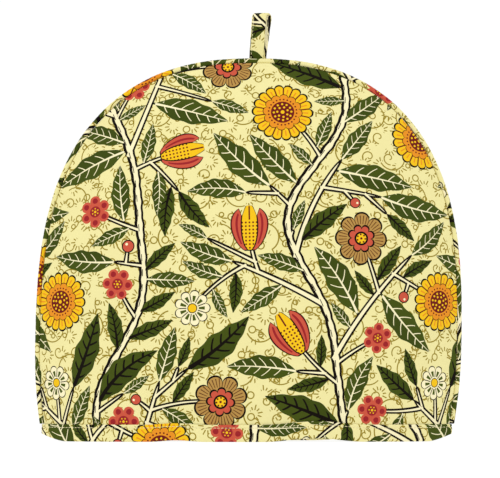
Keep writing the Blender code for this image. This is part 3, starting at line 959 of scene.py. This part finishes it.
def make_stitches(name, rows, thread_finish):
    """Every stitch is a short bowed thread with its ends pulled into the cloth."""
    points, faces = [], []
    for middle, direction, away in (stitch for row in rows for stitch in row):
        level = np.cross(direction, away)
        first = len(points)
        for t in np.linspace(-1, 1, THREAD_RINGS):
            radius = THREAD / 2 * math.sqrt(max(1 - t ** 4, 0.12))
            centre = middle + direction * t * STITCH / 2 + away * (STITCH_BOW - STITCH_DIVE * t ** 4)
            for angle in np.linspace(0, TURN, THREAD_SIDES + 1)[:-1]:
                points.append(centre + radius * (math.cos(angle) * away + math.sin(angle) * level))
        rings = first + np.arange(THREAD_RINGS * THREAD_SIDES).reshape(THREAD_RINGS, THREAD_SIDES)
        for ring, following in zip(rings, rings[1:]):
            around = zip(ring, np.roll(ring, -1), np.roll(following, -1), following)
            faces += [[int(number) for number in face] for face in around]
        faces += [rings[0][::-1].tolist(), rings[-1].tolist()]
    mesh = bpy.data.meshes.new(name)
    mesh.from_pydata(leaned(points).tolist(), [], faces)
    mesh.materials.append(thread_finish)
    return made(mesh)


def band_stitch_row(offset, away):
    """The row of stitches below the band's top edge, outside or inside."""
    ring = full_ring(band_line(offset))
    ring = np.concatenate([ring, ring[:1]])
    z = [section_height(BAND - HEM_STITCH_DROP, x, FRONT if y < 0 else BACK) for x, y in ring]
    tangent = unit(np.gradient(ring, axis=0))
    out = away * np.stack([tangent[:, 1], -tangent[:, 0], np.zeros(len(ring))], axis=1)
    return stitch_row(np.column_stack([ring, z]), out, 0.1)


def loop_stitch_row():
    path = loop_path()
    through = strip_frame(path)
    line = path + through * (LOOP_THICK / 2 - LOOP_PRESS) + [-LOOP_WIDTH / 2 + LOOP_STITCH_INSET, 0, 0]
    return stitch_row(line, through, 0.05)


# Finishes

def sums(operation, reflected=False):
    """A method that adds a Math node of its operation, on a value and what stands beside it."""
    def method(self, *others):
        terms = (*others, self) if reflected else (self, *others)
        return self.finish.add("ShaderNodeMath", {"operation": operation}, *terms)
    return method


class Value:
    """A number or colour that varies over a surface; an expression on values adds its Math nodes."""

    def __init__(self, finish, socket):
        self.finish, self.socket = finish, socket

    __add__ = sums("ADD")
    __radd__ = sums("ADD", reflected=True)
    __sub__ = sums("SUBTRACT")
    __rsub__ = sums("SUBTRACT", reflected=True)
    __mul__ = sums("MULTIPLY")
    __rmul__ = sums("MULTIPLY", reflected=True)
    __truediv__ = sums("DIVIDE")
    __rtruediv__ = sums("DIVIDE", reflected=True)
    __pow__ = sums("POWER")
    __abs__ = sums("ABSOLUTE")
    __lt__ = sums("LESS_THAN")
    __gt__ = sums("GREATER_THAN")
    part = sums("FRACT")
    whole = sums("FLOOR")
    sine = sums("SINE")
    cosine = sums("COSINE")
    root = sums("SQRT")
    at_most = sums("MINIMUM")
    at_least = sums("MAXIMUM")

    def held(self):
        """Kept between 0 and 1."""
        return self.at_least(0.0).at_most(1.0)


class Finish:
    """A material and the nodes that it is made of."""

    def __init__(self, name, roughness):
        self.material = bpy.data.materials.new(name)
        self.material.use_nodes = True
        self.tree = self.material.node_tree
        self.shader = self.tree.nodes["Principled BSDF"]
        self.shader.inputs["Roughness"].default_value = roughness

    def add(self, kind, settings, *values, output=0, **named):
        """A node of a kind: its settings first, then the values or links of its sockets."""
        node = self.tree.nodes.new(kind)
        for setting, value in settings.items():
            setattr(node, setting, value)
        for key, value in [*enumerate(values), *named.items()]:
            if value is None:
                continue
            socket = node.inputs[key]
            if isinstance(value, Value):
                self.tree.links.new(value.socket, socket)
            else:
                socket.default_value = value
        return Value(self, node.outputs[output])

    def layer(self, name):
        """The three numbers of a printed layer."""
        return self.split(self.add("ShaderNodeAttribute", {"attribute_name": name}, output="Vector"))

    def split(self, vector):
        first = self.add("ShaderNodeSeparateXYZ", {}, vector)
        node = first.socket.node
        return [Value(self, node.outputs[i]) for i in range(3)]

    def paint(self, mask, below, above):
        """One colour over another where the mask is 1."""
        return self.add("ShaderNodeMix", {"data_type": "RGBA"}, mask, *[None] * 5, below, above, output=2)

    def shade(self, colour, amount):
        """A colour made lighter or darker by a number round 1."""
        return self.add("ShaderNodeVectorMath", {"operation": "SCALE"}, colour, Scale=amount)

    def noise(self, vector, scale, detail=2.0):
        return self.add("ShaderNodeTexNoise", {}, Vector=vector, Scale=scale, Detail=detail)

    def feed(self, socket, value):
        self.tree.links.new(value.socket, self.shader.inputs[socket])


def ink(red, green, blue, alpha=1.0):
    """A colour as seen, 0 to 255, as the shader wants it."""
    def linear(c):
        c /= 255
        return c / 12.92 if c <= 0.04045 else ((c + 0.055) / 1.055) ** 2.4
    return (linear(red), linear(green), linear(blue), alpha)


BUTTER = ink(233, 224, 159)
LEAF_GREEN = ink(58, 70, 14)
LEAF_LIGHT = ink(72, 84, 20)
LEAF_DARK = ink(40, 50, 14)
CREAM = ink(243, 234, 190)
OLIVE_LINE = ink(150, 130, 42)
DARK = ink(16, 9, 3)
GOLD = ink(238, 190, 26)
ORANGE = ink(226, 142, 34)
MAROON = ink(108, 26, 22)
CORAL = ink(198, 84, 62)
CRIMSON = ink(150, 36, 40)
TAN = ink(178, 138, 72)
BROWN = ink(96, 56, 26)

FINE_LINE = 0.46                # half the width of the ground's lines
CURLED = 0.34                   # share of the ground's stalks that curl
THREAD_PITCH = 0.55             # of the weave


def far(x, y):
    return (x * x + y * y).root()


def polar(f, x, y):
    """Distance from the middle, and angle."""
    return far(x, y), f.add("ShaderNodeMath", {"operation": "ARCTAN2"}, y, x)


def from_nearest(angle, count):
    """Angle from the nearest of evenly spaced spokes."""
    return ((angle * (count / TURN)).part() - 0.5) * (TURN / count)


def scattered(f, u, v, cell, shift):
    """Places within cells of the cloth, each cell turned its own way, and a number that differs by cell."""
    row = (v / cell + shift).whole()
    across = u / cell + shift + row * 0.5
    column = across.whole()
    x, y = (across.part() - 0.5) * cell, ((v / cell + shift).part() - 0.5) * cell
    number = f.add("ShaderNodeCombineXYZ", {}, column, row, shift)
    chance = f.add("ShaderNodeTexWhiteNoise", {"noise_dimensions": "3D"}, number)
    turn = chance * TURN
    c, s = turn.cosine(), turn.sine()
    return x * c - y * s, x * s + y * c, (chance * 7).part()


def print_ground(f, u, v):
    """Fine olive line work on the butter ground: curled stalks with berries, tufts and long arcs."""
    x, y, pick = scattered(f, u, v, 16.5, 0.0)
    r, angle = polar(f, x, y)
    berry = abs(far(x - 4.0, y) - 2.5) < FINE_LINE
    small_berry = abs(far(x + 2.4, y - 4.0) - 1.7) < FINE_LINE
    stalk = (abs(y - 0.085 * (x - 1.6) ** 2) < FINE_LINE) * (x < 1.6) * (x > -6.6)
    curl = abs(r - 3.1 - angle * 0.72) < FINE_LINE
    stalks = berry.at_least(small_berry).at_least(stalk) * (pick > CURLED) + curl * (pick < CURLED)
    x, y, pick = scattered(f, u, v, 14.5, 0.41)
    r, angle = polar(f, x, y)
    tip = 6.2 + 0.9 * (angle * 5 + pick * 9).sine()
    tuft = (abs(from_nearest(angle, 11) * r) < FINE_LINE) * (r > 3.0) * (r < tip) * (x > -1.5)
    x, y, _ = scattered(f, u, v, 33.0, 0.17)
    arc = (abs(far(x, y) - 10.5 - 0.12 * x) < FINE_LINE) * (x + y > 1.5)
    return f.paint(stalks.at_least(tuft).at_least(arc), BUTTER, OLIVE_LINE)


def shoot_marks(f, layer):
    """Where shoots are dark, and where their pale middle lies."""
    d, along, length = f.layer(layer)
    taper = (1 - along.held() ** 12).root()
    width = (2.3 + 0.6 * (length > 60) - 0.65 * along) * taper * (along > -0.04) * (along < 1)
    return abs(d) < width, (abs(d - 0.12) < width - 1.45) * (along < 1 - 1.5 / length)


def print_stems(f, below):
    """Boughs and shoots: pale wood between dark lines, heavier on the shaded side."""
    b, rise, _ = f.layer("bough")
    once = TURN / REPEAT[1]
    knots = 0.26 * (rise * (once * 13)).sine() + 0.2 * (rise * (once * 31)).sine()
    bough = 3.5 + knots
    dark, pale = abs(b) < bough, abs(b - 0.28) < bough - 1.9
    for layer in ("shoot", "fork"):
        shoot_dark, shoot_pale = shoot_marks(f, layer)
        dark, pale = dark.at_least(shoot_dark), pale.at_least(shoot_pale)
    bark = (abs(b + 0.75) < 0.3) * ((rise * (once * 23)).sine() > 0.1)
    wood = f.paint(bark, CREAM, DARK)
    return f.paint(pale, f.paint(dark, below, DARK), wood)


def print_leaf_stalks(f, below):
    x, y, _ = f.layer("leaf")
    stalk = (abs(y) < 0.75) * (x > -LEAF_LENGTH / 2 - 3.5) * (x < -LEAF_LENGTH * 0.45)
    return f.paint(stalk, below, LEAF_DARK)


def print_leaves(f, below):
    """Pointed leaves, lighter on one half, with a rib and bowed veins in cream or dark."""
    x, y, dark_veins = f.layer("leaf")
    t = x / LEAF_LENGTH + 0.5
    full = (t.held() * math.pi).sine()
    upper = y > 0
    wavy = 0.6 * (x * 0.46 + upper * 2.1).sine() * full
    width = full ** 0.85 * (1.18 - 0.44 * t.held()) * 8.8 + wavy
    inside = (abs(y) < width) * (t > 0) * (t < 1)
    rib = abs(y) < (0.66 + 0.66 * dark_veins) * (1.2 - t.held())
    place = (x - abs(y) * 0.5 - 0.07 * y * y + upper * 3.2) / 7.6
    vein = abs(place.part() - 0.5) < 0.052 + 0.058 * dark_veins
    vein = vein * (abs(y) < width * 0.74) * (t < 0.9) * (t > 0.1)
    green = f.paint(upper * 0.5, LEAF_GREEN, LEAF_LIGHT)
    line = f.paint(dark_veins, CREAM, DARK)
    return f.paint(inside, below, f.paint(rib.at_least(vein), green, line))


Flower = namedtuple("Flower", "f x y r angle mask")     # its finish, places on it, and where it is


def dots(flower, count, ring, radius):
    """Dots evenly round a ring."""
    turn = from_nearest(flower.angle, count) * flower.r
    rise = flower.r - ring
    return turn * turn + rise * rise < radius * radius


def petals(angle, count, offset=0.0):
    """0 in the middle of a petal to 1 at its edge."""
    return abs((angle * (count / TURN) + offset).part() - 0.5) * 2


def scalloped(edge, notch, petal):
    """Edge of a ring of petals: how far its notches lie, and how far the petals reach past them."""
    return notch + petal * (1 - edge * edge).root()


def outlined(flower, below, edge, colour, width=1.25):
    """A shape about the flower's middle with a dark outline."""
    painted = flower.f.paint((flower.r < edge) * flower.mask, below, DARK)
    return flower.f.paint((flower.r < edge - width) * flower.mask, painted, colour)


def print_aster(flower, below):
    """Long gold petals, a ring of short orange ones, a maroon eye with gold dots."""
    f, r = flower.f, flower.r
    edge = petals(flower.angle, 18)
    line = ((1 - edge) * r < 2.6) * (r > 9)
    streak = (edge < 0.16) * (r > 13.4) * (r < 17.2)
    gold = f.paint(streak, f.paint(line, GOLD, MAROON), ORANGE)
    painted = outlined(flower, below, scalloped(edge, 17.6, 3.2), gold)
    painted = outlined(flower, painted, scalloped(petals(flower.angle, 12, 0.25), 10.8, 2.6), ORANGE, 0.5)
    painted = outlined(flower, painted, 7.8, MAROON, 0.0)
    eye = dots(flower, 12, 5.9, 0.75).at_least(dots(flower, 7, 3.6, 0.75)).at_least(r < 1.3)
    painted = f.paint(eye * flower.mask, painted, GOLD)
    return f.paint(dots(flower, 24, 9.4, 0.6) * flower.mask, painted, MAROON)


def print_rosette(flower, below):
    """Eight broad tan petals with brown rays, coral and gold heart."""
    f, r = flower.f, flower.r
    rays = (petals(flower.angle, 40) > 0.72) * (r > 9.5) * (r < 15.2)
    tan = f.paint(rays, TAN, BROWN)
    painted = outlined(flower, below, scalloped(petals(flower.angle, 8), 12.5, 5.2), tan)
    painted = outlined(flower, painted, scalloped(petals(flower.angle, 8, 0.5), 6.6, 3.0), CORAL)
    painted = outlined(flower, painted, 4.6, GOLD)
    return f.paint(dots(flower, 7, 2.7, 0.62).at_least(r < 0.8) * flower.mask, painted, MAROON)


def print_tulip(flower, below):
    """A cup with three points: coral petals with crimson streaks about a gold one with maroon specks."""
    f, x, y = flower.f, flower.x, flower.y
    cup = 12.8 * (1 - ((y + 3) / 15.5).at_most(1.0) ** 2).at_least(0.0).root() * (1 + 0.014 * y)
    points = 5.6 + 9.2 * abs((x * (math.pi / 9.8)).cosine())
    body = (abs(x) < cup) * (y < points) * (y > -17.6)
    inner = (abs(x) < cup - 0.7) * (y < points - 1.0) * (y > -16.8)
    middle = 5.4 * (1 - ((y + 1) / 16.4) ** 2).at_least(0.0).root()
    seam = abs(abs(x) - middle) < 0.42
    streaks = ((abs(x) / cup.at_least(1.0) * 21).sine() > 0.3) * (y < points - 4.5) * (y > -13)
    sides = f.paint(streaks, CORAL, CRIMSON)
    speck_x, speck_y = ((x / 2.4 + 0.5).part() - 0.5) * 2.4, ((y / 2.4).part() - 0.5) * 2.4
    specks = (speck_x * speck_x + speck_y * speck_y < 0.4) * (y < 3)
    flame = (abs(x) < 0.5) * (y > 3) * (y < 12)
    gold = f.paint(specks.at_least(flame), GOLD, MAROON)
    painted = f.paint(body * flower.mask, below, DARK)
    return f.paint(inner * (1 - seam) * flower.mask, painted, f.paint(abs(x) < middle, sides, gold))


def print_star(flower, below):
    """Six small coral petals with a crimson spot each, crimson heart with gold dots."""
    f = flower.f
    spotted = f.paint(dots(flower, 6, 7.9, 2.0), CORAL, CRIMSON)
    painted = outlined(flower, below, scalloped(petals(flower.angle, 6), 6.4, 4.9), spotted, 0.0)
    painted = outlined(flower, painted, 4.0, CRIMSON, 0.0)
    return f.paint(dots(flower, 6, 2.3, 0.5).at_least(flower.r < 0.9) * flower.mask, painted, GOLD)


def print_daisy(flower, below):
    """Nine cream petals with a green blush, gold heart."""
    f, r = flower.f, flower.r
    edge = petals(flower.angle, 9)
    blush = (edge < 0.4) * (r > 4.5) * (r < 8.6)
    line = ((1 - edge) * r < 0.95) * (r > 4)
    cream = f.paint(line, f.paint(blush, CREAM, LEAF_LIGHT), DARK)
    painted = outlined(flower, below, scalloped(edge, 8.4, 4.2), cream, 0.75)
    return outlined(flower, painted, 3.4, GOLD, 0.6)


def print_berry(flower, below):
    """A coral ball with a spot of light."""
    x, y = flower.x + 1.2, flower.y - 1.3
    painted = outlined(flower, below, 4.4, CORAL, 0.8)
    return flower.f.paint((x * x + y * y < 0.8) * flower.mask, painted, CREAM)


def print_blooms(f, below):
    x, y, kind = f.layer("bloom")
    r, angle = polar(f, x, y)
    for number, print_kind in (
        (ASTER, print_aster),
        (ROSETTE, print_rosette),
        (TULIP, print_tulip),
        (STAR, print_star),
        (DAISY, print_daisy),
        (BERRY, print_berry),
    ):
        below = print_kind(Flower(f, x, y, r, angle, abs(kind - number) < 0.5), below)
    return below


def weave(u, v, pitch):
    """Height of a plain weave: warp and weft threads pass over each other in turn."""
    warp, weft = u * (math.pi / pitch), v * (math.pi / pitch)
    return 0.5 + 0.25 * (abs(warp.sine()) + abs(weft.sine())) + 0.2 * warp.cosine() * weft.cosine()


def clothlike(f, colour, u, v, place):
    """The weave's relief, painted shade between its threads, and the small random differences in tone of
    dyed cotton.
    """
    threads = weave(u, v, THREAD_PITCH)
    drawn = f.add("ShaderNodeVectorMath", {"operation": "MULTIPLY"}, place, (0.25, 3.0, 1.0))
    slubs = f.noise(drawn, 0.8, 2.0)
    cloudy = f.noise(place, 0.035, 3.0)
    # painted shade: the colour darkens where the weave is low, between its threads; slubs and clouds are
    # the cotton's own uneven tone
    colour = f.shade(colour, 0.86 + 0.1 * threads + 0.06 * slubs + 0.08 * cloudy)
    f.feed("Base Color", colour)
    f.feed("Roughness", 0.8 + 0.12 * slubs)
    bump = f.add("ShaderNodeBump", {}, Strength=0.35, Distance=0.00025, Height=threads + 0.5 * slubs)
    f.feed("Normal", bump)
    f.shader.inputs["Sheen Weight"].default_value = 0.02
    f.shader.inputs["Sheen Roughness"].default_value = 0.5
    f.shader.inputs["Specular IOR Level"].default_value = 0.1


def cotton(name, roughness):
    """A finish, and places on its flat cloth in millimetres."""
    f = Finish(name, roughness)
    place = f.add("ShaderNodeAttribute", {"attribute_name": "cloth"}, output="Vector")
    u, v, _ = f.split(place)
    return f, place, u, v


def printed_cotton():
    f, place, u, v = cotton("printed cotton", 0.86)
    colour = print_ground(f, u, v)
    for lay_on in (print_leaf_stalks, print_stems, print_leaves, print_blooms):
        colour = lay_on(f, colour)
    clothlike(f, colour, u, v, place)
    return f.material


def plain_reverse():
    f, place, u, v = cotton("plain cotton reverse", 0.88)
    mottle = f.noise(place, 0.12, 2.0)
    clothlike(f, f.paint(mottle, ink(214, 204, 160), ink(228, 220, 182)), u, v, place)
    return f.material


def sewing_thread():
    f = Finish("sewing thread", 0.6)
    place = f.add("ShaderNodeTexCoord", {}, output="Object")
    twist = f.noise(place, 1400.0, 1.0)
    f.feed("Base Color", f.paint(twist, ink(226, 214, 156), ink(244, 236, 192)))
    return f.material


def lit_paper(name):
    """White sweep that glows a little, so that shadows on it stay faint."""
    f = Finish(name, 0.95)
    f.shader.inputs["Base Color"].default_value = (0.12, 0.12, 0.12, 1)
    f.shader.inputs["Specular IOR Level"].default_value = 0.0
    f.shader.inputs["Emission Color"].default_value = (1, 1, 1, 1)
    f.shader.inputs["Emission Strength"].default_value = 0.92
    return f.material


# Put together

printed = printed_cotton()
reverse = plain_reverse()
thread = sewing_thread()

front = make_panel("front_cover", FRONT, printed, reverse)
rear = make_panel("back_cover", BACK, printed, reverse)
cord = make_piping("corded_piping", printed)
band = make_band("bound_hem", printed)
loop = make_loop("loop_strip", printed)
outer_leg, inner_leg = GAP + BAND_THICK, -RIM_THICK - GAP - BAND_THICK
hem_stitches = make_stitches(
    "hem_stitches", [band_stitch_row(outer_leg, 1), band_stitch_row(inner_leg, -1)], thread)
loop_stitches = make_stitches("loop_stitches", [loop_stitch_row()], thread)

for piece, node, slot in (
    (front, "front_panel", "printed_cotton"),
    (rear, "back_panel", "printed_cotton"),
    (cord, "piping", "piping_cotton"),
    (band, "hem_binding", "binding_cotton"),
    (loop, "hanging_loop", "loop_cotton"),
):
    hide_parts(node)
for piece in (front, rear, cord, band, loop, hem_stitches, loop_stitches):
    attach(piece, "root")


# Studio

FLOOR_REACH = 14.0


def make_floor():
    mesh = bpy.data.meshes.new("floor")
    ends = [(x * FLOOR_REACH, y * FLOOR_REACH, 0) for x, y in ((-1, -1), (1, -1), (1, 1), (-1, 1))]
    mesh.from_pydata(ends, [], [(0, 1, 2, 3)])
    mesh.materials.append(lit_paper("white paper"))
    floor = bpy.data.objects.new("floor", mesh)
    bpy.context.collection.objects.link(floor)


def aim(obj, target):
    direction = np.array(target) - np.array(obj.location)
    obj.rotation_euler = (
        math.atan2(math.hypot(direction[0], direction[1]), -direction[2]),
        0,
        math.atan2(direction[1], direction[0]) - math.pi / 2,
    )


def add_light(name, kind, place, energy, **settings):
    light = bpy.data.lights.new(name, kind)
    light.energy = energy
    for setting, value in settings.items():
        setattr(light, setting, value)
    obj = bpy.data.objects.new(name, light)
    obj.location = place
    bpy.context.collection.objects.link(obj)
    aim(obj, (0, 0, 0.15))


def light_studio():
    world = bpy.data.worlds.new("studio")
    world.use_nodes = True
    world.node_tree.nodes["Background"].inputs["Color"].default_value = (1, 1, 1, 1)
    world.node_tree.nodes["Background"].inputs["Strength"].default_value = 1.02
    scene = bpy.context.scene
    scene.world = world
    scene.view_settings.view_transform = "Standard"
    add_light("overhead", "SUN", (0.4, -0.8, 2.4), 0.25, angle=math.radians(50))
    add_light("window", "AREA", (-1.3, -1.7, 1.1), 4, size=0.9)


# Photo: 500 pixels wide, 478 high; a pixel is 0.748 mm at the seam, and the table is at row 441
PIXEL = 0.748 * MM
FRAME_WIDTH, FRAME_HEIGHT = 500, 478
TABLE_ROW = 441
MIDDLE_COLUMN = 249.5
CAMERA_DISTANCE = 5.0
CAMERA_HEIGHT = 0.07


def place_camera():
    camera = bpy.data.cameras.new("camera")
    camera.sensor_width = 36
    camera.lens = camera.sensor_width * CAMERA_DISTANCE / (FRAME_WIDTH * PIXEL)
    obj = bpy.data.objects.new("camera", camera)
    middle = ((FRAME_WIDTH / 2 - MIDDLE_COLUMN) * PIXEL, 0, (TABLE_ROW - FRAME_HEIGHT / 2) * PIXEL)
    obj.location = (middle[0], -CAMERA_DISTANCE, CAMERA_HEIGHT)
    bpy.context.collection.objects.link(obj)
    aim(obj, middle)
    bpy.context.scene.camera = obj


make_floor()
light_studio()
place_camera()
